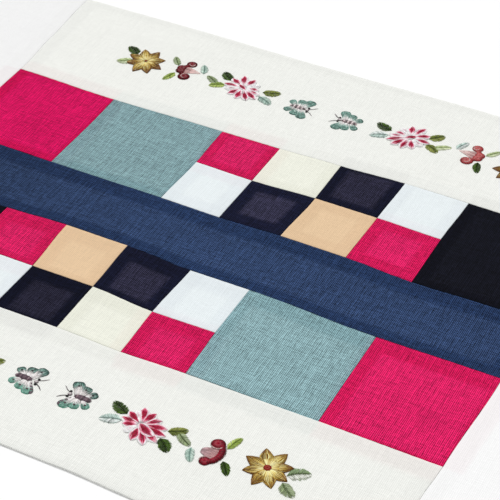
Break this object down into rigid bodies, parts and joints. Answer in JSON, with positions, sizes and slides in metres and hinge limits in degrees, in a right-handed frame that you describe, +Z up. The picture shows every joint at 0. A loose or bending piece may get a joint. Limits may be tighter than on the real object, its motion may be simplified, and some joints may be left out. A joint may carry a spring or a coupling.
{
  "type": "embroidered patchwork mat",
  "caption": "Flat oblong patchwork mat of sheer cloth with plain end panels and long borders carrying silk flower and butterfly garlands.",
  "frame": {"origin": "centre of the mat's bounding box on the surface that it lies on", "axes": "+X along the mat to its right-hand end panel, +Y across it to the far border, +Z up out of its face"},
  "size_m": [0.71, 0.501, 0.0026],
  "materials": {
    "cloth_fuchsia": "matte sheer plain weave with uneven threads",
    "cloth_teal": "matte sheer plain weave with uneven threads",
    "cloth_ivory": "matte sheer plain weave",
    "cloth_ice": "matte sheer plain weave",
    "cloth_aubergine": "matte sheer plain weave, lighter where it is single",
    "cloth_black": "matte sheer plain weave",
    "cloth_peach": "matte sheer plain weave",
    "cloth_navy": "matte sheer plain weave with soft creases",
    "cloth_cream": "matte sheer plain weave",
    "cloth_white": "matte sheer plain weave",
    "thread_gold": "silk satin stitch, glossy along the threads",
    "thread_red": "silk satin stitch, glossy along the threads",
    "thread_pink": "silk satin stitch, glossy along the threads",
    "thread_green": "silk satin stitch, glossy along the threads"
  },
  "bodies": {
    "root": {"border_far": "cloth_cream", "border_near": "cloth_cream", "end_left": "cloth_white", "end_right": "cloth_white", "band": "cloth_navy", "far_fuchsia_large": "cloth_fuchsia", "far_teal_large": "cloth_teal", "far_black_large": "cloth_black", "far_square_1_outer": "cloth_fuchsia", "far_square_1_inner": "cloth_ice", "far_square_2_outer": "cloth_ivory", "far_square_2_inner": "cloth_aubergine", "far_square_3_outer": "cloth_aubergine", "far_square_3_inner": "cloth_peach", "far_square_4_outer": "cloth_ice", "far_square_4_inner": "cloth_fuchsia", "near_fuchsia_large": "cloth_fuchsia", "near_teal_large": "cloth_teal", "near_black_large": "cloth_black", "near_square_1_outer": "cloth_fuchsia", "near_square_1_inner": "cloth_ice", "near_square_2_outer": "cloth_ivory", "near_square_2_inner": "cloth_aubergine", "near_square_3_outer": "cloth_aubergine", "near_square_3_inner": "cloth_peach", "near_square_4_outer": "cloth_ice", "near_square_4_inner": "cloth_fuchsia", "far_left_butterfly": "thread_green", "far_left_dahlia": "thread_pink", "far_left_fungus": "thread_red", "far_left_star": "thread_gold", "far_right_butterfly": "thread_green", "far_right_dahlia": "thread_pink", "far_right_fungus": "thread_red", "far_right_star": "thread_gold", "near_left_butterfly": "thread_green", "near_left_dahlia": "thread_pink", "near_left_fungus": "thread_red", "near_left_star": "thread_gold", "near_right_butterfly": "thread_green", "near_right_dahlia": "thread_pink", "near_right_fungus": "thread_red", "near_right_star": "thread_gold"}
  },
  "joints": []
}
